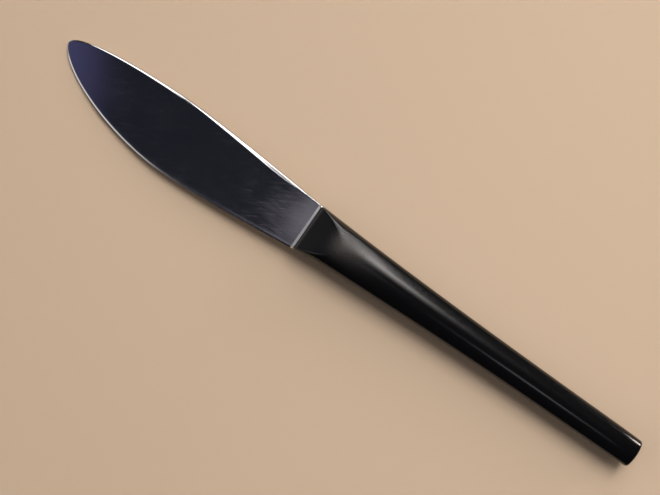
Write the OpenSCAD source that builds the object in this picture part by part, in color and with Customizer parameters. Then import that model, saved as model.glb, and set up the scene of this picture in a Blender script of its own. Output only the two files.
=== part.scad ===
// Table knife: a forged steel blade whose hidden tang is cemented into a moulded handle.
//
// X runs from the tip to the butt, Y from the cutting edge up to the back of the blade, and Z
// across the thickness. The origin lies on the surface that the handle's underside touches,
// below the middle of the knife's length and of the blade's greatest width.
// The knife is the same on both sides of its middle plane.

/* [Blade] */
// Length of the blade, from the tip to the seam with the handle
blade_l = 93; // [78:1:104]
// Greatest width of the blade
blade_w = 22.7; // [19:0.1:26]
// Height of the tip above the handle's axis
tip_rise = 3.7; // [1:0.2:6]
// Distance from the tip to the highest point of the back
back_peak = 40.5; // [30:1:48]
// Distance from the tip to the lowest point of the cutting edge
belly_peak = 45.5; // [36:1:56]
// Thickness of the back of the blade at the heel
back_t = 2.2; // [1.8:0.1:2.6]
// Thickness of the back of the blade at the tip
tip_t = 1.1; // [0.7:0.1:1.6]
// Width of the rounding along the back at the heel
back_round = 1.4; // [0.6:0.1:1.8]
// Thickness of the blade behind the sharpened bevel
edge_t = 0.5; // [0.3:0.05:0.8]
// Width of the sharpened bevel
bevel_w = 0.4; // [0.2:0.1:1]
// Thickness left on the cutting edge
edge_land = 0.14; // [0.08:0.02:0.3]

/* [Shoulder and seam] */
// Height of the seam above the handle's axis, on the side of the back
seam_up = 7.3; // [6:0.1:8]
// Depth of the seam below the handle's axis, on the side of the cutting edge
seam_down = 8.35; // [7:0.05:9.4]
// Thickness of the steel shoulder and of the handle at the seam
seam_t = 3.6; // [3.3:0.1:4.8]
// Length of the full-thickness rim of the shoulder
rim_l = 0.2; // [0.1:0.1:1.2]
// Length of the hollow fillet in front of the rim
fillet_l = 0.5; // [0.3:0.1:2.4]
// Length over which the heel swells towards the shoulder
swell_l = 18; // [8:1:26]
// Extra thickness of the heel where it meets the fillet
swell_t = 0.1; // [0:0.1:1]

/* [Handle] */
// Length of the handle, from the seam to the butt
handle_l = 115.5; // [104:0.5:132]
// Thickness that the round body would have at the seam, without its flats
fore_t = 10.8; // [9:0.1:12]
// Angle at which the two flats rise from the seam
flat_angle = 16; // [10:0.5:20]
// Width of the butt
butt_w = 8.9; // [6.6:0.1:10]
// Thickness of the butt
butt_t = 8; // [6.4:0.1:9]
// Height of the handle's axis above the middle of the blade's width
axis_rise = 0.95; // [0:0.05:2.4]
// Straight taper of each side, from the seam to the butt
side_taper = 1.15; // [0.4:0.05:1.8]
// Length over which the full section at the seam turns into an ellipse
morph_l = 20; // [8:1:40]
// How far the rounded front edge draws the handle in at the seam
front_r = 0.3; // [0.1:0.05:0.4]
// Length of the rounded front edge
front_l = 1; // [0.3:0.1:2]
// Radius of the edge round the butt
butt_r = 0.8; // [0.4:0.1:1.6]

/* [Tang] */
// Length of the tang behind the seam
tang_l = 62; // [40:1:76]
// Width of the tang at the seam
tang_root_w = 8.6; // [7:0.2:9.4]
// Width of the tang at its end
tang_end_w = 4.6; // [3.6:0.2:5.6]
// Thickness of the tang
tang_t = 1.8; // [1.4:0.1:2]
// Radius of the notches that key the tang into the cement
notch_r = 0.8; // [0.4:0.1:1.1]
// Number of notches on each edge of the tang
notch_n = 3; // [1:1:5]
// Cement on every side of the tang
cement_gap = 0.25; // [0.15:0.05:0.3]
// Cement between the end of the tang and the bottom of the socket
cement_end = 3; // [1:0.5:6]

/* [Hidden] */

// Places along and across the knife
knife_l = blade_l + handle_l;
tip_x = -knife_l / 2;
seam_x = tip_x + blade_l;
axis_y = axis_rise;
back_y = blade_w / 2;
belly_y = -blade_w / 2;
tip_y = axis_y + tip_rise;
seam_back_y = axis_y + seam_up;
seam_edge_y = axis_y - seam_down;

// Shape of the outline: powers of the rounded fore parts, and how soon the rear parts turn straight
back_power = 2.25;
belly_power = 1.54;
fore_power = 1.73;
back_bend = 0.27;
belly_bend = 0.365;

// Shape of the handle: powers by which its width and its thickness fall from the seam to the butt,
// powers of the section at the seam and at the butt, and how sharply the flats meet the round body
flare_power = 3.15;
slim_power = 2.2;
full_power = 2.6;
round_power = 2;
flat_power = 10;

// Fineness of the lofts
tip_start = 0.05;
blade_steps = 44;
shoulder_steps = 8;
face_steps = 4;
back_steps = 5;
handle_steps = 40;
edge_steps = 4;
section_steps = 64;
spacing_power = 1.7;

// The share of the width that a bevel or a rounding may take where the blade is narrow
narrow_share = 0.3;
// The share of the back's half thickness that its rounding takes
round_share = 0.8;
// The share of the shoulder's half thickness that its rounded corners take, and their width
corner_share = 0.7;
corner_w = 0.55;
// The share of the rim's length that the root of the tang reaches into the shoulder
root_share = 0.8;
// How far the cut for the socket runs out of the handle's front
mouth_l = 1;
// Fineness of the notches
notch_facets = 32;

function mix(a, b, s) = a + (b - a) * s;

// A quarter of a rounded outline: 0 at s = 0, where it is steep, and 1 at s = 1, where it is level
function fore_curve(s, power) = pow(1 - pow(1 - s, fore_power), 1 / power);

// A level start that turns into a straight slope: 0 at s = 0 and 1 at s = 1
function rear_curve(s, bend) = (sqrt(s * s + bend * bend) - bend) / (sqrt(1 + bend * bend) - bend);

// A concave quarter round: 1 at s = 0, where it is steep, and 0 at s = 1, where it is level
function hollow(s) = 1 - sqrt(1 - pow(1 - s, 2));

// Outline of the blade, t mm behind the tip
function back_line(t) =
    t < back_peak
        ? mix(tip_y, back_y, fore_curve(t / back_peak, back_power))
        : mix(back_y, seam_back_y, rear_curve((t - back_peak) / (blade_l - back_peak), back_bend));
function edge_line(t) =
    t < belly_peak
        ? mix(tip_y, belly_y, fore_curve(t / belly_peak, belly_power))
        : mix(belly_y, seam_edge_y, rear_curve((t - belly_peak) / (blade_l - belly_peak), belly_bend));

// How far the section has turned from the thin blade into the full shoulder, from 0 to 1
function shoulder_share(t) =
    let (ahead = blade_l - t - rim_l)
    ahead <= 0 ? 1 : ahead >= fillet_l ? 0 : hollow(ahead / fillet_l);

// Thickness added where the heel swells towards the shoulder
function heel_swell(t) = swell_t * pow(max(0, 1 - (blade_l - t) / swell_l), 2);

// Upper half of a blade section, from the cutting edge to the back, as [y, z] above the middle plane
function half_blade(t) =
    let (
        low = edge_line(t),
        high = back_line(t),
        most = narrow_share * (high - low),
        share = shoulder_share(t),
        thick = mix(tip_t, back_t, t / blade_l) + heel_swell(t),
        half_back = mix(thick / 2, seam_t / 2, share),
        half_edge = mix((edge_t + heel_swell(t)) / 2, seam_t / 2, share),
        bevel = mix(min(bevel_w, most), corner_w, share),
        round_y = mix(min(back_round * thick / back_t, most), corner_w, share),
        round_z = mix(round_share, corner_share, share) * half_back,
        land = mix(edge_land / 2, (1 - corner_share) * seam_t / 2, share)
    )
    concat(
        [[low, land]],
        [for (i = [0:face_steps - 1])
            [mix(low + bevel, high - round_y, i / face_steps), mix(half_edge, half_back, i / face_steps)]],
        [for (i = [0:back_steps]) let (a = 90 * i / back_steps)
            [high - round_y + round_y * sin(a), half_back - round_z + round_z * cos(a)]]
    );

// A closed ring at x, from its upper half and the mirror of that half
function mirrored_ring(x, half) =
    concat(
        [for (p = half) [x, p[0], mid_z + p[1]]],
        [for (i = [len(half) - 1:-1:0]) [x, half[i][0], mid_z - half[i][1]]]
    );

// Stations along the blade: close together at the tip and through the fillet
function blade_stations() =
    let (fillet_start = blade_l - rim_l - fillet_l)
    concat(
        [for (i = [0:blade_steps]) fillet_start * pow(i / blade_steps, spacing_power)],
        [for (i = [1:shoulder_steps]) fillet_start + fillet_l * sin(90 * i / shoulder_steps)],
        [blade_l]
    );

// Sides of the handle, h mm behind the seam: a straight taper and a flare that dies away
function side_line(h, seam) =
    let (left = 1 - h / handle_l)
    butt_w / 2 + side_taper * left + (seam - butt_w / 2 - side_taper) * pow(left, flare_power);
function upper_side(h) = axis_y + side_line(h, seam_up);
function lower_side(h) = axis_y - side_line(h, seam_down);

// Thickness of the handle's round body: it falls from the seam to the butt, ever more slowly
function body_thickness(h) = mix(butt_t, fore_t, pow(1 - h / handle_l, slim_power));

// Height of the flats above the middle plane: they rise straight from the seam
function flat_height(h) = seam_t / 2 + h * tan(flat_angle);

// Power of the body's section: full at the seam, elliptical behind
function section_power(h) = round_power + (full_power - round_power) * exp(-h / morph_l);

// How far the rounded edges at the seam and the butt draw the section in
function edge_inset(h) =
    h < front_l ? front_r * hollow(h / front_l)
    : handle_l - h < butt_r ? butt_r * hollow((handle_l - h) / butt_r) : 0;

function signed_pow(v, p) = sign(v) * pow(abs(v), p);

// A height that follows v and bends softly to stay below most
function limited(v, most) = v / pow(1 + pow(abs(v) / most, flat_power), 1 / flat_power);

// Section of the handle: the round body between the two flats
function handle_ring(h) =
    let (
        inset = edge_inset(h),
        half_w = (upper_side(h) - lower_side(h)) / 2 - inset,
        half_t = body_thickness(h) / 2 - inset,
        flat_z = flat_height(h) - inset,
        mid_y = (upper_side(h) + lower_side(h)) / 2,
        power = 2 / section_power(h)
    )
    [for (i = [0:section_steps - 1]) let (a = 360 * i / section_steps)
        [
            seam_x + h,
            mid_y - half_w * signed_pow(cos(a), power),
            mid_z + limited(half_t * signed_pow(sin(a), power), flat_z)
        ]];

// Stations along the handle: close together at both rounded ends and behind the seam
function handle_stations() =
    concat(
        [for (i = [0:edge_steps - 1]) front_l * (1 - cos(90 * i / edge_steps))],
        [for (i = [0:handle_steps]) mix(front_l, handle_l - butt_r, pow(i / handle_steps, spacing_power))],
        [for (i = [1:edge_steps]) handle_l - butt_r + butt_r * sin(90 * i / edge_steps)]
    );

// Height of the middle plane: half of the thickness at the handle's thickest place
mid_z = max([for (h = handle_stations()) limited(body_thickness(h) / 2, flat_height(h))]);

// A solid through rings of equal length, closed by a flat face at each end
module loft(rings) {
    n = len(rings[0]);
    last = len(rings) - 1;
    polyhedron(
        points = [for (ring = rings) each ring],
        faces = concat(
            [[for (i = [n - 1:-1:0]) i]],
            [[for (i = [0:n - 1]) last * n + i]],
            [for (j = [0:last - 1], i = [0:n - 1])
                let (a = j * n + i, b = j * n + (i + 1) % n)
                each [[a, b + n, a + n], [a, b, b + n]]]
        )
    );
}

// Outline of the tang or of its socket, from start to length behind the seam
module tapered_strip(start, length, root_w, end_w) {
    translate([seam_x, axis_y])
        polygon([
            [start, -root_w / 2],
            [length, -end_w / 2],
            [length, end_w / 2],
            [start, root_w / 2]
        ]);
}

// A flat plate of the given thickness on the knife's middle plane
module middle_plate(thickness) {
    translate([0, 0, mid_z - thickness / 2])
        linear_extrude(height = thickness) children();
}

// Flat tang with half-round notches on both edges; it starts inside the rim of the shoulder
module tang() {
    middle_plate(tang_t)
        difference() {
            tapered_strip(-root_share * rim_l, tang_l, tang_root_w, tang_end_w);
            for (i = [1:notch_n], side = [-1, 1])
                let (along = tang_l * i / (notch_n + 1))
                translate([seam_x + along, axis_y + side * mix(tang_root_w, tang_end_w, along / tang_l) / 2])
                    circle(r = notch_r, $fn = notch_facets);
        }
}

// Space in the handle for the tang and the cement
module socket(start) {
    middle_plate(tang_t + 2 * cement_gap)
        tapered_strip(start, tang_l + cement_end, tang_root_w + 2 * cement_gap, tang_end_w + 2 * cement_gap);
}

// Forged blade, shoulder and tang, in one piece of steel
module blade() {
    color([0.66, 0.67, 0.7])
        union() {
            loft([for (t = blade_stations()) mirrored_ring(tip_x + t, half_blade(max(t, tip_start)))]);
            tang();
        }
}

// Moulded handle with its socket
module handle() {
    color([0.03, 0.03, 0.035])
        difference() {
            loft([for (h = handle_stations()) handle_ring(h)]);
            socket(-mouth_l);
        }
}

// Hardened cement that fills the socket round the tang
module tang_cement() {
    color([0.72, 0.66, 0.54])
        difference() {
            socket(0);
            tang();
        }
}

blade();
handle();
tang_cement();
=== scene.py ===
"""Table knife: a polished steel blade in a black moulded handle, on a pale floor and seen from above."""

import bpy
import numpy as np
from mathutils import Matrix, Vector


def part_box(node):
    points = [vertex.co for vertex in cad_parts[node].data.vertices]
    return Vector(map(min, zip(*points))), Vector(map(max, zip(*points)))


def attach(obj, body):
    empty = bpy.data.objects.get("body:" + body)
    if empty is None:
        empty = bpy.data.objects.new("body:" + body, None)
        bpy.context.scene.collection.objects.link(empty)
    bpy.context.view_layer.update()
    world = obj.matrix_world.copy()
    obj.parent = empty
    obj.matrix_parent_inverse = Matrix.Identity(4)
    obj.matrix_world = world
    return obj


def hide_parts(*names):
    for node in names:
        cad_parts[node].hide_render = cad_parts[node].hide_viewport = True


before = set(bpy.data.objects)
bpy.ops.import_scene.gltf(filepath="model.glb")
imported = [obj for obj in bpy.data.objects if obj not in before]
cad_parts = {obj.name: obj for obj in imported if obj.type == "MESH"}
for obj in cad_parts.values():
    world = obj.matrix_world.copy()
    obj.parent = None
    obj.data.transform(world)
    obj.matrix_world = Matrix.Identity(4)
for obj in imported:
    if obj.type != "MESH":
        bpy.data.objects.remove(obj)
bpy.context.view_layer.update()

# Sizes of the knife in millimetres
BLADE_L, HANDLE_L = 93.0, 115.5        # tip to seam, and seam to butt
BLADE_W = 22.7                         # greatest width of the blade
AXIS_Y = 0.95                          # handle's axis above the middle of the blade's width
TIP_Y = AXIS_Y + 3.7
SEAM_UP, SEAM_DOWN = 7.3, 8.35         # seam above and below the handle's axis
SEAM_T = 3.6                           # thickness at the seam

# The blade's outline
BACK_PEAK, BELLY_PEAK = 40.5, 45.5     # tip to the highest point of the back and the lowest of the edge
PEAK_POWER = 1.73                      # how the outline levels off towards these two points
BACK_POWER, EDGE_POWER = 2.25, 1.54    # how roundly back and edge leave the tip
BACK_BEND, EDGE_BEND = 0.27, 0.365     # how softly back and edge turn straight behind the two points

# The blade's sections
BACK_T, TIP_T = 2.2, 1.1               # thickness of the back at the heel and at the tip
TIP_THIN, TIP_FADE = 0.45, 6.0         # share by which the very tip is thinner, and how soon that ends
BACK_ROUND, ROUND_POWER = 1.6, 1.6     # width of the back's rounding, and how it narrows with the thickness
ROUND_SHARE = 0.8                      # share of the half thickness that the rounding takes
EDGE_T, EDGE_LAND = 0.5, 0.14          # thickness behind the bevel, and of the blunt edge itself
BEVEL_W, BEVEL_TIP = 0.4, 0.7          # width of the bevel, and the share of it at the tip
BEVEL_GROWTH = 12.0                    # length over which that share would grow by 1
WIDEST_SHARE = 0.3                     # greatest share of the blade's width that rounding or bevel takes
RIM_L, SLOPE_L = 0.2, 0.75             # shoulder: level rim at the seam, and the slope in front of it
CORNER_W, CORNER_SHARE = 0.55, 0.7     # shoulder's rounded corners: width, and share of the half thickness
SWELL_L, SWELL_T = 18.0, 0.1           # how the heel swells towards the shoulder
FIRST_T = 0.01                         # the tip takes the outline from this far behind it

# The handle
BUTT_W, BUTT_T = 8.9, 8.0
FORE_T, BODY_POWER = 10.58, 2.2        # thickness that the round body would have at the seam, and its fall
SIDE_TAPER, FLARE_POWER = 1.15, 3.15   # straight taper of each side, and how the flare dies away
FLAT_ANGLE, FLAT_POWER = 16.0, 20.0    # rise of the two flats, and how sharply they meet the round body
OVAL_POWER, SEAM_MORE = 2.0, 0.1       # power of the oval section, and what it has more at the seam
MORPH_L = 20.0                         # length over which that dies away
FULL_UP, FULL_DOWN = 1.05, 1.12        # the oval is this much wider, and cut flat at its two sides
SIDE_POWER, SIDE_L = 16.0, 18.0        # how sharply, and how far behind the seam that sets in
FRONT_R, FRONT_L, BUTT_R = 0.3, 1.0, 0.8    # rounded rims: depth and length in front, radius at the butt
EASE_W, EASE_T, EASE_L = 0.15, 0.5, 8.0     # how the end draws in: in width, in height, and its length

# The tang and its socket
TANG_L, TANG_ROOT_W, TANG_END_W, TANG_T = 62.0, 8.6, 4.6, 1.8
TANG_IN = 0.16                         # how far its root reaches into the shoulder
NOTCH_R, NOTCH_N = 0.8, 3
CEMENT_GAP, CEMENT_END = 0.25, 3.0     # room for cement round the tang and beyond its end

# Fineness: sections along a piece and how they crowd towards its start, and points across it
BLADE_STEPS, BLADE_CROWD = 280, 1.8
HANDLE_STEPS, HANDLE_CROWD = 260, 1.5
FRONT_STEPS, BUTT_STEPS = 13, 15
FACE_POINTS, ROUND_POINTS, OVAL_POINTS = 25, 20, 192
TANG_POINTS, FLOOR_STEPS = 420, 160
BLADE_SHARP, HANDLE_SHARP = 30.0, 50.0      # edges that turn by more are sharp, in degrees

# Strip along the edge that is honed: its width, and how much of it is fully dull, in millimetres
HONED_W, HONED_FULL = 1.6, 0.3

# Worn plastic and its painted sheen in millimetres: behind the seam, above the axis, and off the middle plane
WEAR_SHEEN_START, WEAR_SHEEN_FULL = 5.0, 12.5
WEAR_SHEEN_FALL, WEAR_SHEEN_END, WEAR_SHEEN_POWER = 12.0, 34.0, 2.5
WEAR_SHEEN_LOW, WEAR_SHEEN_HIGH = -6.5, 3.0
WEAR_SHEEN_FLANK, WEAR_SHEEN_TOP = 3.0, 4.8
RIM_WORN, RIM_CLEAN = 0.2, 1.4

# The floor in millimetres and degrees
FLOOR_REACH, FLOOR_FINE_X = 30000.0, 140.0  # its edges, and the part that is finely divided
FLOOR_LEVEL_X, FLOOR_BEND = 130.0, 5.0      # it is level beyond, and bends this softly
TIP_RISE, BUTT_RISE = 2.5, 0.35

# The lamp: angles towards +X and +Y and its spread in degrees, its radiance, and its distance in metres
LAMP_TOWARD, LAMP_SPREAD, LAMP_RADIANCE, LAMP_DISTANCE = (12, 31), (30, 30), 5.5, 0.55

MM = 0.001                             # in metres
MID_Z = sum(corner[2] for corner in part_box("handle")) / 2 / MM      # middle plane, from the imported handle
TIP_X = -(BLADE_L + HANDLE_L) / 2
SEAM_X = TIP_X + BLADE_L
BELLY_X = SEAM_X + 13.4                # where the handle is thickest


def linear(hex_colour):
    """A colour written as sRGB hex, as linear red, green, blue and alpha."""
    c = np.array([int(hex_colour[i:i + 2], 16) for i in (1, 3, 5)]) / 255
    c = np.where(c <= 0.04045, c / 12.92, ((c + 0.055) / 1.055) ** 2.4)
    return (*c.tolist(), 1.0)


def glow(hex_colour, strength):
    """The linear colour of a light, from its sRGB hex and its strength, with 1 as white."""
    return (np.array(linear(hex_colour)) * strength).tolist()[:3]


def direction(toward_x, toward_y):
    """A unit vector tilted from straight up by these angles towards +X and +Y, in degrees."""
    v = np.array([np.tan(np.radians(toward_x)), np.tan(np.radians(toward_y)), 1.0])
    return v / np.linalg.norm(v)


def mix(a, b, s):
    """The value at share s of the way from a to b."""
    return a + (b - a) * s


def fore_curve(s, power):
    """A quarter of a rounded outline: 0 at s = 0, where it is steep, and 1 at s = 1, where it is level."""
    return (1 - (1 - np.clip(s, 0, 1)) ** PEAK_POWER) ** (1 / power)


def rear_curve(s, bend):
    """A hyperbola: level at s = 0 and nearly straight to 1 at s = 1."""
    s = np.clip(s, 0, 1)
    return (np.sqrt(s * s + bend * bend) - bend) / (np.sqrt(1 + bend * bend) - bend)


def hollow(s):
    """A concave quarter round: 1 at s = 0, where it is steep, and 0 from s = 1 on, where it is level."""
    return 1 - np.sqrt(1 - (1 - np.clip(s, 0, 1)) ** 2)


def limited(v, most, power):
    """A value that follows v and bends softly to stay below most: v divided by the power-th root of
    1 + (v / most) ** power."""
    return v / (1 + (np.abs(v) / most) ** power) ** (1 / power)


def soft_ramp(v, bend):
    """0 for v far below 0 and v far above it, with a soft bend between: bend * log(1 + exp(v / bend))."""
    return bend * np.logaddexp(0, v / bend)


def blade_outline(t):
    """Heights of the back and of the cutting edge, t mm behind the tip: both are rounded in front and nearly
    straight behind."""
    behind_back = (t - BACK_PEAK) / (BLADE_L - BACK_PEAK)
    behind_belly = (t - BELLY_PEAK) / (BLADE_L - BELLY_PEAK)
    back_fore = mix(TIP_Y, BLADE_W / 2, fore_curve(t / BACK_PEAK, BACK_POWER))
    back_rear = mix(BLADE_W / 2, AXIS_Y + SEAM_UP, rear_curve(behind_back, BACK_BEND))
    edge_fore = mix(TIP_Y, -BLADE_W / 2, fore_curve(t / BELLY_PEAK, EDGE_POWER))
    edge_rear = mix(-BLADE_W / 2, AXIS_Y - SEAM_DOWN, rear_curve(behind_belly, EDGE_BEND))
    return np.where(t < BACK_PEAK, back_fore, back_rear), np.where(t < BELLY_PEAK, edge_fore, edge_rear)


def blade_rings():
    """Sections of the blade, square to its length. The height over the middle plane is the least of three:
    the bevel, which rises straight with the distance from the edge, the flat face, and the quarter-round
    back. The other half is the mirror image. The very tip is thinner by a share that dies away, and the
    back's rounding narrows over the heel. Towards the seam the heel swells by a parabola, and a straight
    slope turns the section into the full shoulder."""
    slope_start = BLADE_L - RIM_L - SLOPE_L
    # Sections stand closest at the tip, and close on both sides of each crease
    t = np.concatenate([
        [0], mix(2 * FIRST_T, slope_start, np.linspace(0, 1, BLADE_STEPS) ** BLADE_CROWD),
        slope_start + SLOPE_L * np.array([0.03, 0.5, 0.97, 1.0]),
        [BLADE_L - RIM_L * 0.5, BLADE_L - 0.06, BLADE_L - 0.03, BLADE_L],
    ])[:, None]
    at = np.maximum(t, FIRST_T)
    back, edge = blade_outline(at)
    share = np.clip(1 - (BLADE_L - t - RIM_L) / SLOPE_L, 0, 1)
    swell = SWELL_T * np.maximum(0, 1 - (BLADE_L - t) / SWELL_L) ** 2
    thick = mix(TIP_T, BACK_T, t / BLADE_L) + swell
    half_back = mix(thick / 2 * (1 - TIP_THIN * np.exp(-t / TIP_FADE)), SEAM_T / 2, share)
    half_edge = mix((EDGE_T + swell) / 2, SEAM_T / 2, share)
    land = mix(EDGE_LAND / 2, (1 - CORNER_SHARE) * SEAM_T / 2, share)
    # Widths of rounding and bevel, square to the outline and then straight across the blade
    heel = np.clip(1 - (slope_start - t) / SWELL_L, 0, 1)
    round_w = mix(BACK_ROUND * (thick / BACK_T) ** ROUND_POWER, CORNER_W, heel * heel * (3 - 2 * heel))
    bevel_w = mix(BEVEL_W * np.clip(BEVEL_TIP + t / BEVEL_GROWTH, 0, 1), CORNER_W, share)
    steep_back = np.hypot(1, np.gradient(back[:, 0], at[:, 0]))[:, None]
    steep_edge = np.hypot(1, np.gradient(edge[:, 0], at[:, 0]))[:, None]
    most = WIDEST_SHARE * (back - edge)
    round_y = np.minimum(round_w * steep_back, most)
    bevel_y = np.minimum(bevel_w * steep_edge, most)
    round_z = mix(ROUND_SHARE, CORNER_SHARE, share) * half_back
    # Points of half a section, from the edge over the bevel and the face to the back
    on_bevel = np.array([0, 0.06, 0.25, 0.5, 0.75, 0.94])
    on_face = np.concatenate([[0, 0.004], np.linspace(0.02, 0.98, FACE_POINTS), [0.996]])
    on_round = np.sin(np.linspace(0, np.pi / 2, ROUND_POINTS))
    low, high = edge + bevel_y, back - round_y
    y = np.concatenate([edge + bevel_y * on_bevel, mix(low, high, on_face), high + round_y * on_round],
                       axis=1)
    from_edge, from_back = (y - edge) / steep_edge, (back - y) / steep_back
    bevel = land + (half_edge - land) * from_edge / bevel_w
    face = mix(half_edge, half_back, np.clip((y - low) / (high - low), 0, 1))
    rounding = half_back - round_z + round_z * np.sqrt(1 - np.clip(1 - from_back / round_w, 0, 1) ** 2)
    z = np.minimum(np.minimum(bevel, face), rounding)
    y = np.concatenate([y, y[:, ::-1]], axis=1)
    z = np.concatenate([z, -z[:, ::-1]], axis=1)
    x = np.broadcast_to(TIP_X + t, y.shape)
    return np.stack([x, y, MID_Z + z], axis=-1)


def tang_rings():
    """The flat tang: a tapering strip whose edges dip in by half circles at the notches, as a lower and an
    upper outline."""
    x = np.linspace(-TANG_IN, TANG_L, TANG_POINTS)
    half = mix(TANG_ROOT_W, TANG_END_W, x / TANG_L) / 2
    notch_at = TANG_L * np.arange(1, NOTCH_N + 1) / (NOTCH_N + 1)
    off = np.abs(x[:, None] - notch_at).min(axis=1)
    half = half - np.sqrt(np.maximum(0, NOTCH_R ** 2 - off ** 2))
    outline = np.stack([np.concatenate([x, x[::-1]]), np.concatenate([half, -half[::-1]])], axis=-1)
    rings = np.empty((2, len(outline), 3))
    rings[..., 0] = SEAM_X + outline[:, 0]
    rings[..., 1] = AXIS_Y + outline[:, 1]
    rings[..., 2] = MID_Z + np.array([-TANG_T / 2, TANG_T / 2])[:, None]
    return rings


def handle_side(h, seam):
    """Half width of the handle, h mm behind the seam: a straight taper and a flare that dies away by a
    power."""
    left = 1 - h / HANDLE_L
    return BUTT_W / 2 + SIDE_TAPER * left + (seam - BUTT_W / 2 - SIDE_TAPER) * left ** FLARE_POWER


def handle_rings():
    """Sections of the handle, from the bottom of its socket out over the front and back to the butt.
    Outside, each is a superellipse whose power falls from 2.1 to 2. Its height is limited by two flats that
    rise straight from the seam, and its two sides are cut a little flat behind the seam. Both rims are
    rounded, and the last millimetres draw in by a parabola. The socket's sections are rectangles."""
    h = np.concatenate([
        FRONT_L * (1 - np.cos(np.linspace(0, np.pi / 2, FRONT_STEPS + 1)[:-1])),
        mix(FRONT_L, HANDLE_L - BUTT_R, np.linspace(0, 1, HANDLE_STEPS) ** HANDLE_CROWD),
        HANDLE_L - BUTT_R + BUTT_R * np.sin(np.linspace(0, np.pi / 2, BUTT_STEPS + 1)[1:]),
    ])[:, None]
    inset = FRONT_R * hollow(h / FRONT_L) + BUTT_R * hollow((HANDLE_L - h) / BUTT_R)
    ease = np.clip(1 - (HANDLE_L - h) / EASE_L, 0, 1) ** 2
    up, down = AXIS_Y + handle_side(h, SEAM_UP), AXIS_Y - handle_side(h, SEAM_DOWN)
    half_w = (up - down) / 2 - inset - EASE_W * ease
    half_t = mix(BUTT_T, FORE_T, (1 - h / HANDLE_L) ** BODY_POWER) / 2 - inset - EASE_T * ease
    flat = SEAM_T / 2 + h * np.tan(np.radians(FLAT_ANGLE)) - inset
    power = OVAL_POWER + SEAM_MORE * np.exp(-h / MORPH_L)
    a = np.linspace(0, 2 * np.pi, OVAL_POINTS + 1)[:-1]
    c, s = np.cos(a), np.sin(a)
    reach = (np.abs(c) ** power + np.abs(s) ** power) ** (-1 / power)
    z = limited(half_t * s * reach, flat, FLAT_POWER)
    full = np.where(c < 0, FULL_UP, FULL_DOWN)
    cut = limited(full * c * reach, 1, SIDE_POWER) / limited(full, 1, SIDE_POWER)
    across = half_w * mix(c * reach, cut, 1 - np.exp(-(h / SIDE_L) ** 2))
    x = np.broadcast_to(SEAM_X + h, reach.shape)
    outside = np.stack([x, (up + down) / 2 - across, MID_Z + z], axis=-1)
    deep = np.array([TANG_L + CEMENT_END, 0.0])[:, None]
    socket_w = mix(TANG_ROOT_W, TANG_END_W, deep / (TANG_L + CEMENT_END)) / 2 + CEMENT_GAP
    socket_t = TANG_T / 2 + CEMENT_GAP
    square = 1 / np.maximum(np.abs(c), np.abs(s))
    y = AXIS_Y - socket_w * c * square
    x, z = np.broadcast_to(SEAM_X + deep, y.shape), np.broadcast_to(MID_Z + socket_t * s * square, y.shape)
    return np.concatenate([np.stack([x, y, z], axis=-1), outside])


def lofted(name, shells, sharp_angle):
    """One mesh of closed shells. Each shell is an array of rings: quads join neighbouring rings, and a flat
    face closes each end."""
    points, quads, caps, start = [], [], [], 0
    for rings in shells:
        m, n = rings.shape[:2]
        index = start + np.arange(m * n).reshape(m, n)
        after = np.roll(index, -1, axis=1)
        quads.append(np.stack([index[:-1], index[1:], after[1:], after[:-1]], axis=-1).reshape(-1, 4))
        caps += [index[0].tolist(), index[-1, ::-1].tolist()]
        points.append(rings.reshape(-1, 3) * MM)
        start += m * n
    mesh = bpy.data.meshes.new(name)
    mesh.from_pydata(np.concatenate(points), [], np.concatenate(quads).tolist() + caps)
    mesh.shade_smooth()
    mesh.set_sharp_from_angle(angle=np.radians(sharp_angle))
    mesh.validate()
    piece = bpy.data.objects.new(name, mesh)
    bpy.context.scene.collection.objects.link(piece)
    return piece


def add_node(tree, kind, settings=None, values=None, links=None):
    """Adds a shader node with its settings, its constant inputs and the sockets that feed its others."""
    node = tree.nodes.new(kind)
    for key, value in (settings or {}).items():
        setattr(node, key, value)
    for key, value in (values or {}).items():
        node.inputs[key].default_value = value
    for key, socket in (links or {}).items():
        tree.links.new(socket, node.inputs[key])
    return node


def new_material(name):
    """An empty node material and its tree."""
    material = bpy.data.materials.new(name)
    material.use_nodes = True
    material.node_tree.nodes.clear()
    return material, material.node_tree


def per_mm(size):
    """Texture scale at which a pattern on Object coordinates repeats every size mm."""
    return 1 / (size * MM)


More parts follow.
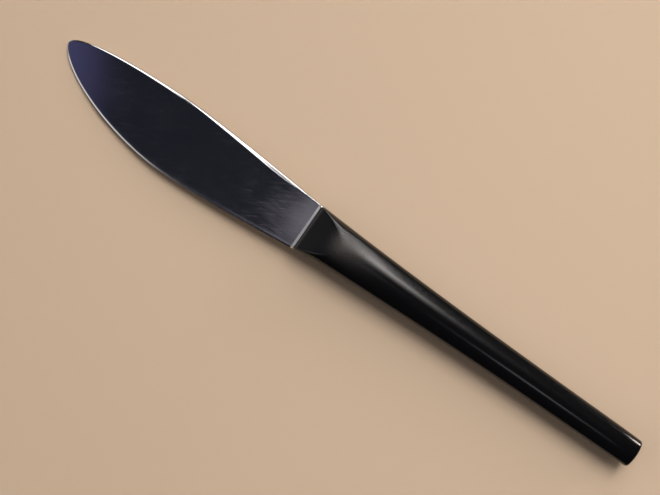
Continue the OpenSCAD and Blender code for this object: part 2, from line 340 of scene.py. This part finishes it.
def polished_steel():
    """Stainless steel, forged and mirror polished on soft wheels: a dark clear mirror with faint lines along
    the blade, a light haze from washing, fine slanted scratches from plates and a honed, duller strip along
    the edge. Real polishing lines and scratches are a few hundredths of a millimetre wide. They are drawn at
    0.5 and 0.3 mm, so that they show."""
    material, tree = new_material("polished stainless steel")
    place = add_node(tree, "ShaderNodeTexCoord").outputs["Object"]
    along = add_node(tree, "ShaderNodeMapping", values={"Scale": (0.03, 1.0, 1.0)}, links={"Vector": place})
    lines = add_node(tree, "ShaderNodeTexNoise",
                     values={"Scale": per_mm(0.5), "Detail": 4.0, "Roughness": 0.6},
                     links={"Vector": along.outputs["Vector"]})
    haze = add_node(tree, "ShaderNodeTexNoise", values={"Scale": per_mm(9.0), "Detail": 3.0},
                    links={"Vector": place})
    slant = add_node(tree, "ShaderNodeMapping", {"vector_type": "TEXTURE"},
                     values={"Rotation": (0, 0, np.radians(28)), "Scale": (25.0, 1.0, 1.0)},
                     links={"Vector": place})
    strokes = add_node(tree, "ShaderNodeTexNoise", values={"Scale": per_mm(0.3), "Detail": 2.0},
                       links={"Vector": slant.outputs["Vector"]})
    scratch = add_node(tree, "ShaderNodeMapRange", values={"From Min": 0.58, "From Max": 0.76},
                       links={"Value": strokes.outputs["Fac"]})
    from_edge = add_node(tree, "ShaderNodeAttribute", {"attribute_name": "from_edge"})
    honed = add_node(tree, "ShaderNodeMapRange", {"interpolation_type": "SMOOTHSTEP"},
                     values={"From Min": HONED_W, "From Max": HONED_FULL},
                     links={"Value": from_edge.outputs["Fac"]})
    spread = add_node(tree, "ShaderNodeMath", {"operation": "MULTIPLY"},
                      links={0: lines.outputs["Fac"], 1: haze.outputs["Fac"]})
    rough = add_node(tree, "ShaderNodeMapRange",
                     values={"From Min": 0.1, "From Max": 0.5, "To Min": 0.05, "To Max": 0.12},
                     links={"Value": spread.outputs[0]})
    rougher = add_node(tree, "ShaderNodeMath", {"operation": "MULTIPLY_ADD"}, values={1: 0.09},
                       links={0: scratch.outputs["Result"], 2: rough.outputs["Result"]})
    roughest = add_node(tree, "ShaderNodeMath", {"operation": "MULTIPLY_ADD"}, values={1: 0.1},
                        links={0: honed.outputs["Result"], 2: rougher.outputs[0]})
    relief = add_node(tree, "ShaderNodeMath", {"operation": "SUBTRACT"},
                      links={0: lines.outputs["Fac"], 1: scratch.outputs["Result"]})
    bump = add_node(tree, "ShaderNodeBump", values={"Strength": 0.03, "Distance": 0.02 * MM},
                    links={"Height": relief.outputs[0]})
    tone = add_node(tree, "ShaderNodeMix", {"data_type": "RGBA"},
                    values={"A": linear("#C6C6C9"), "B": linear("#CECED0")},
                    links={"Factor": haze.outputs["Fac"]})
    surface = add_node(tree, "ShaderNodeBsdfPrincipled", values={"Metallic": 1.0},
                       links={"Base Color": tone.outputs["Result"], "Roughness": roughest.outputs[0],
                              "Normal": bump.outputs["Normal"]})
    add_node(tree, "ShaderNodeOutputMaterial", links={"Surface": surface.outputs["BSDF"]})
    return material


def moulded_plastic():
    """Black thermoplastic, moulded in a polished tool: a soft gloss with a slight ripple and fine scuffs. Use
    has worn the gloss dull where the flats turn into the round body, and along the rim at the seam. Where
    the flats turn into the body, a lighter grey is also painted on the side towards the window, as a
    painted sheen. Real scuffs are finer. They are drawn at 0.6 mm, so that they show."""
    material, tree = new_material("black moulded plastic")
    place = add_node(tree, "ShaderNodeTexCoord").outputs["Object"]
    at = add_node(tree, "ShaderNodeSeparateXYZ", links={"Vector": place})
    ripple = add_node(tree, "ShaderNodeTexNoise", values={"Scale": per_mm(3.0), "Detail": 2.0},
                      links={"Vector": place})
    scuffs = add_node(tree, "ShaderNodeTexNoise",
                      values={"Scale": per_mm(0.6), "Detail": 5.0, "Roughness": 0.7},
                      links={"Vector": place})
    # Wear on top of the knee, with a painted sheen of lighter grey there, as the product of how far it
    # reaches along, across and down
    knee = add_node(tree, "ShaderNodeMapRange", {"interpolation_type": "SMOOTHSTEP"},
                    values={"From Min": (SEAM_X + WEAR_SHEEN_START) * MM, "From Max": (SEAM_X + WEAR_SHEEN_FULL) * MM},
                    links={"Value": at.outputs["X"]})
    left = add_node(tree, "ShaderNodeMapRange",
                    values={"From Min": (SEAM_X + WEAR_SHEEN_END) * MM, "From Max": (SEAM_X + WEAR_SHEEN_FALL) * MM},
                    links={"Value": at.outputs["X"]})
    rear_fall = add_node(tree, "ShaderNodeMath", {"operation": "POWER"}, values={1: WEAR_SHEEN_POWER},
                    links={0: left.outputs["Result"]})
    along = add_node(tree, "ShaderNodeMath", {"operation": "MULTIPLY"},
                     links={0: knee.outputs["Result"], 1: rear_fall.outputs[0]})
    # Across: rising towards the back, the side that the window lights, so that the painted sheen falls there
    towards_window = add_node(tree, "ShaderNodeMapRange", {"interpolation_type": "SMOOTHSTEP"},
                     values={"From Min": (AXIS_Y + WEAR_SHEEN_LOW) * MM, "From Max": (AXIS_Y + WEAR_SHEEN_HIGH) * MM},
                     links={"Value": at.outputs["Y"]})
    knee_towards_window = add_node(tree, "ShaderNodeMath", {"operation": "MULTIPLY"},
                    links={0: along.outputs[0], 1: towards_window.outputs["Result"]})
    from_middle = add_node(tree, "ShaderNodeMath", {"operation": "SUBTRACT"}, values={1: MID_Z * MM},
                           links={0: at.outputs["Z"]})
    off_middle = add_node(tree, "ShaderNodeMath", {"operation": "ABSOLUTE"},
                          links={0: from_middle.outputs[0]})
    high = add_node(tree, "ShaderNodeMapRange", {"interpolation_type": "SMOOTHSTEP"},
                    values={"From Min": WEAR_SHEEN_FLANK * MM, "From Max": WEAR_SHEEN_TOP * MM},
                    links={"Value": off_middle.outputs[0]})
    knee_wear_and_sheen = add_node(tree, "ShaderNodeMath", {"operation": "MULTIPLY"},
                         links={0: knee_towards_window.outputs[0], 1: high.outputs["Result"]})
    # Wear along the rim at the seam, broken up by the scuffs
    front_worn = add_node(tree, "ShaderNodeMapRange", {"interpolation_type": "SMOOTHSTEP"},
                          values={"From Min": (SEAM_X + RIM_CLEAN) * MM,
                                  "From Max": (SEAM_X + RIM_WORN) * MM},
                          links={"Value": at.outputs["X"]})
    rim_scuffs = add_node(tree, "ShaderNodeMath", {"operation": "MULTIPLY"},
                          links={0: front_worn.outputs["Result"], 1: scuffs.outputs["Fac"]})
    gloss = add_node(tree, "ShaderNodeMapRange",
                     values={"From Min": 0.3, "From Max": 0.7, "To Min": 0.12, "To Max": 0.19},
                     links={"Value": scuffs.outputs["Fac"]})
    dulled = add_node(tree, "ShaderNodeMix", values={"B": 0.44},
                      links={"Factor": knee_wear_and_sheen.outputs[0], "A": gloss.outputs["Result"]})
    rough = add_node(tree, "ShaderNodeMix", values={"B": 0.45},
                     links={"Factor": rim_scuffs.outputs[0], "A": dulled.outputs["Result"]})
    black = add_node(tree, "ShaderNodeMix", {"data_type": "RGBA"},
                     values={"A": linear("#060607"), "B": linear("#0C0C0D")},
                     links={"Factor": scuffs.outputs["Fac"]})
    # Painted sheen: the worn knee turns a lighter grey on the side towards the window
    sheen_grey = add_node(tree, "ShaderNodeMix", {"data_type": "RGBA"}, values={"B": linear("#3F3B39")},
                      links={"Factor": knee_wear_and_sheen.outputs[0], "A": black.outputs["Result"]})
    tone = add_node(tree, "ShaderNodeMix", {"data_type": "RGBA"}, values={"B": linear("#2C2A29")},
                    links={"Factor": rim_scuffs.outputs[0], "A": sheen_grey.outputs["Result"]})
    bump = add_node(tree, "ShaderNodeBump", values={"Strength": 0.1, "Distance": 0.05 * MM},
                    links={"Height": ripple.outputs["Fac"]})
    surface = add_node(tree, "ShaderNodeBsdfPrincipled", values={"IOR": 1.46},
                       links={"Base Color": tone.outputs["Result"], "Roughness": rough.outputs["Result"],
                              "Normal": bump.outputs["Normal"]})
    add_node(tree, "ShaderNodeOutputMaterial", links={"Surface": surface.outputs["BSDF"]})
    return material


def cast_cement():
    """Filled resin cement, poured warm and set hard: matt and grainy, the colour of sand."""
    material, tree = new_material("cast resin cement")
    place = add_node(tree, "ShaderNodeTexCoord").outputs["Object"]
    grain = add_node(tree, "ShaderNodeTexNoise", values={"Scale": per_mm(0.4), "Detail": 4.0},
                     links={"Vector": place})
    tone = add_node(tree, "ShaderNodeMix", {"data_type": "RGBA"},
                    values={"A": linear("#A89270"), "B": linear("#CDBB98")},
                    links={"Factor": grain.outputs["Fac"]})
    bump = add_node(tree, "ShaderNodeBump", values={"Strength": 0.4, "Distance": 0.1 * MM},
                    links={"Height": grain.outputs["Fac"]})
    surface = add_node(tree, "ShaderNodeBsdfPrincipled", values={"Roughness": 0.85},
                       links={"Base Color": tone.outputs["Result"], "Normal": bump.outputs["Normal"]})
    add_node(tree, "ShaderNodeOutputMaterial", links={"Surface": surface.outputs["BSDF"]})
    return material


def pale_floor():
    """A plain sheet of card under the knife. Its height depends on x only: it bends softly under the
    handle's belly, rises evenly from there to just below the tip, and a little towards the butt, and is
    level further out."""
    fine = np.linspace(-FLOOR_FINE_X, FLOOR_FINE_X, FLOOR_STEPS + 1)
    x = np.concatenate([[-FLOOR_REACH], fine, [FLOOR_REACH]])
    off = x - BELLY_X
    to_tip = soft_ramp(-off, FLOOR_BEND) - soft_ramp(-x - FLOOR_LEVEL_X, FLOOR_BEND)
    to_butt = soft_ramp(off, FLOOR_BEND) - soft_ramp(x - FLOOR_LEVEL_X, FLOOR_BEND)
    rise_tip, rise_butt = np.tan(np.radians([TIP_RISE, BUTT_RISE]))
    z = rise_tip * to_tip + rise_butt * to_butt - (rise_tip + rise_butt) * soft_ramp(0, FLOOR_BEND)
    n = len(x)
    y = np.repeat([-FLOOR_REACH, FLOOR_REACH], n)
    points = np.stack([np.tile(x, 2), y, np.tile(z, 2)], axis=-1) * MM
    low = np.arange(n - 1)
    mesh = bpy.data.meshes.new("floor")
    mesh.from_pydata(points, [], np.stack([low, low + 1, low + 1 + n, low + n], axis=-1).tolist())
    mesh.shade_smooth()
    floor = bpy.data.objects.new("floor", mesh)
    bpy.context.scene.collection.objects.link(floor)
    material, tree = new_material("matt paper floor")
    surface = add_node(tree, "ShaderNodeBsdfPrincipled",
                       values={"Base Color": linear("#C8B097"), "Roughness": 0.9,
                               "Specular IOR Level": 0.2})
    add_node(tree, "ShaderNodeOutputMaterial", links={"Surface": surface.outputs["BSDF"]})
    mesh.materials.append(material)
    return floor


def soft_box(name, toward, spread, radiance, distance):
    """An area lamp that faces the knife and looks this many degrees wide and high from there. Its power
    gives it this radiance, with 1 as white. It lights floor and knife and casts the shadow, but isn't
    mirrored."""
    lamp = bpy.data.lights.new(name, "AREA")
    lamp.shape = "RECTANGLE"
    lamp.size, lamp.size_y = (2 * distance * np.tan(np.radians(np.array(spread)) / 2)).tolist()
    lamp.energy = radiance * np.pi * lamp.size * lamp.size_y
    box = bpy.data.objects.new(name, lamp)
    box.visible_glossy = False
    side = np.cross([0.0, 1.0, 0.0], toward)
    side /= np.linalg.norm(side)
    turn = Matrix(np.column_stack([side, np.cross(toward, side), toward]).tolist())
    box.matrix_world = Matrix.LocRotScale(toward * distance, turn.to_quaternion(), None)
    bpy.context.scene.collection.objects.link(box)


# Room: its darkest light, then its patches as direction, inner and outer angle in degrees, and light
ROOM_DARK = linear("#25262E")
ROOM_PATCHES = [
    (direction(-2.85, -1.2), 3.5, 5.7, glow("#FCF4FF", 0.58)),              # ceiling straight above
    (direction(-28, -4), 2, 8, glow("#ACA6FF", 0.145)),                     # evening sky at the tip's end
    (direction(-68, 0), 12, 37, glow("#FFFBF6", 0.75)),                     # pale wall at the tip's end
    (direction(-42, -38), 9, 25, glow("#FFFBF7", 1.0)),                     # wall lamp before the edge
    (direction(12.5, -13), 0.5, 3.8, glow("#FFFFFF", 2.8)),                 # small ceiling lamp
    (np.array([0.4574, 0.8603, 0.225]), 3.5, 6.5, glow("#FFF3E7", 28)),     # low lamp at the butt's end
]
# Panes of the window behind the back: their edges as a, b, c and softness, and light
WINDOW_PANES = [
    ([(-1, -0.17, 0.29, 0.012), (1.4, 1, -0.24, 0.04), (0, -1, -2.7, 0.4), (1, 0, -1.4, 0.1)],
     glow("#FFFDFB", 3.5)),
    ([(-1, -0.046, 0.165, 0.004), (3.9, 1, -0.544, 0.05), (0, -1, -2.7, 0.4), (1, 0.17, -0.265, 0.012)],
     glow("#FFFDFB", 4.0)),
    ([(1, 0, -0.09, 0.02), (-1, 0, -0.02, 0.01), (0, 1, 0.48, 0.24), (-20, -1, -1.0, 0.15)],
     glow("#FFF8F4", 19)),
    ([(1, 0, 0.02, 0.01), (-1, 0, -0.085, 0.02), (0, 1, 0.45, 0.3), (-1.5, -1, -0.76, 0.1)],
     glow("#FFF8F4", 9.5)),
    ([(1, 0, -0.45, 0.05), (-1, 0, 0.09, 0.02), (0, 1, 1.9, 0.15), (0, -1, -5, 0.8)],
     glow("#FFFDFB", 5.0)),
]


def dim_room():
    """The room as the knife mirrors it: nearly black overhead, with soft round patches of paler wall and
    ceiling and the panes of a window. A patch rises smoothly from its outer to its inner angle. A pane is
    where every one of its edges holds: a x / z + b y / z > c, with a smooth step across the edge."""
    world = bpy.data.worlds.new("dim room")
    world.use_nodes = True
    tree = world.node_tree
    tree.nodes.clear()
    place = add_node(tree, "ShaderNodeTexCoord").outputs["Generated"]
    height = add_node(tree, "ShaderNodeSeparateXYZ", links={"Vector": place}).outputs["Z"]
    plane = add_node(tree, "ShaderNodeVectorMath", {"operation": "DIVIDE"},
                     links={0: place, 1: height}).outputs["Vector"]
    lights = [([(place, toward, np.cos(np.radians(outer)), np.cos(np.radians(inner)))], colour)
              for toward, inner, outer, colour in ROOM_PATCHES]
    lights += [([(plane, (a, b, 0), c - soft, c + soft) for a, b, c, soft in edges], colour)
               for edges, colour in WINDOW_PANES]
    socket = None
    for steps, colour in lights:
        weight = None
        for vector, toward, start, stop in steps:
            dot = add_node(tree, "ShaderNodeVectorMath", {"operation": "DOT_PRODUCT"}, values={1: toward},
                           links={0: vector})
            fade = add_node(tree, "ShaderNodeMapRange", {"interpolation_type": "SMOOTHSTEP"},
                            values={"From Min": start, "From Max": stop},
                            links={"Value": dot.outputs["Value"]}).outputs["Result"]
            if weight:
                fade = add_node(tree, "ShaderNodeMath", {"operation": "MULTIPLY"},
                                links={0: weight, 1: fade}).outputs[0]
            weight = fade
        add = add_node(tree, "ShaderNodeMix", {"data_type": "RGBA", "blend_type": "ADD"},
                       values={"A": ROOM_DARK, "B": (*colour, 1.0)}, links={"Factor": weight})
        if socket:
            tree.links.new(socket, add.inputs["A"])
        socket = add.outputs["Result"]
    sky = add_node(tree, "ShaderNodeBackground", links={"Color": socket})
    add_node(tree, "ShaderNodeOutputWorld", links={"Surface": sky.outputs["Background"]})
    bpy.context.scene.world = world


def overhead_camera():
    """A camera almost straight above the knife, turned so that the knife runs down to the right of a picture
    of 660 by 495 pixels."""
    picture_w, focal = 660.0, 900.0                     # pixels
    turn, tilt, lean = np.radians([35.180, 2.5, 2.52])  # about the view, up the picture, along the knife
    target = np.array([-2.429, -0.687, MID_Z])          # millimetres
    scale = 3.3568                                      # pixels per millimetre there
    leaning = np.array([np.sin(lean), 0.0, np.cos(lean)])
    right = np.array([np.cos(turn), np.sin(turn), 0.0])
    right -= leaning * (right @ leaning)
    right /= np.linalg.norm(right)
    back = leaning * np.cos(tilt) - np.cross(leaning, right) * np.sin(tilt)
    lens = bpy.data.cameras.new("camera")
    lens.sensor_width = 36.0
    lens.lens = lens.sensor_width * focal / picture_w
    lens.clip_start = 0.01
    camera = bpy.data.objects.new("camera", lens)
    place = (target + back * focal / scale) * MM
    facing = Matrix(np.column_stack([right, np.cross(back, right), back]).tolist())
    camera.matrix_world = Matrix.LocRotScale(place, facing.to_quaternion(), None)
    bpy.context.scene.collection.objects.link(camera)
    bpy.context.scene.camera = camera


# Pieces
blade_shape = blade_rings()
blade = lofted("polished_blade", [blade_shape, tang_rings()], BLADE_SHARP)
handle = lofted("moulded_handle", [handle_rings()], HANDLE_SHARP)

# Distance of each point of the blade from its cutting edge in millimetres; the tang counts as far away
from_edge = blade_shape[..., 1] - blade_outline(np.maximum(blade_shape[..., 0] - TIP_X, FIRST_T))[1]
tang_points = len(blade.data.vertices) - from_edge.size
from_edge = np.concatenate([from_edge.ravel(), np.full(tang_points, BLADE_W)]).astype(np.float32)
blade.data.attributes.new("from_edge", "FLOAT", "POINT").data.foreach_set("value", from_edge)

blade.data.materials.append(polished_steel())
handle.data.materials.append(moulded_plastic())
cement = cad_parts["tang_cement"]
cement.data.materials.clear()
cement.data.materials.append(cast_cement())
for piece, node, slot in ((blade, "blade", "polished_steel"), (handle, "handle", "black_plastic")):
    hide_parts(node)
    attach(piece, "root")

# Floor, camera and light
pale_floor()
overhead_camera()
dim_room()
soft_box("right lamp", direction(*LAMP_TOWARD), LAMP_SPREAD, LAMP_RADIANCE, LAMP_DISTANCE)

bpy.context.scene.view_settings.view_transform = "Standard"
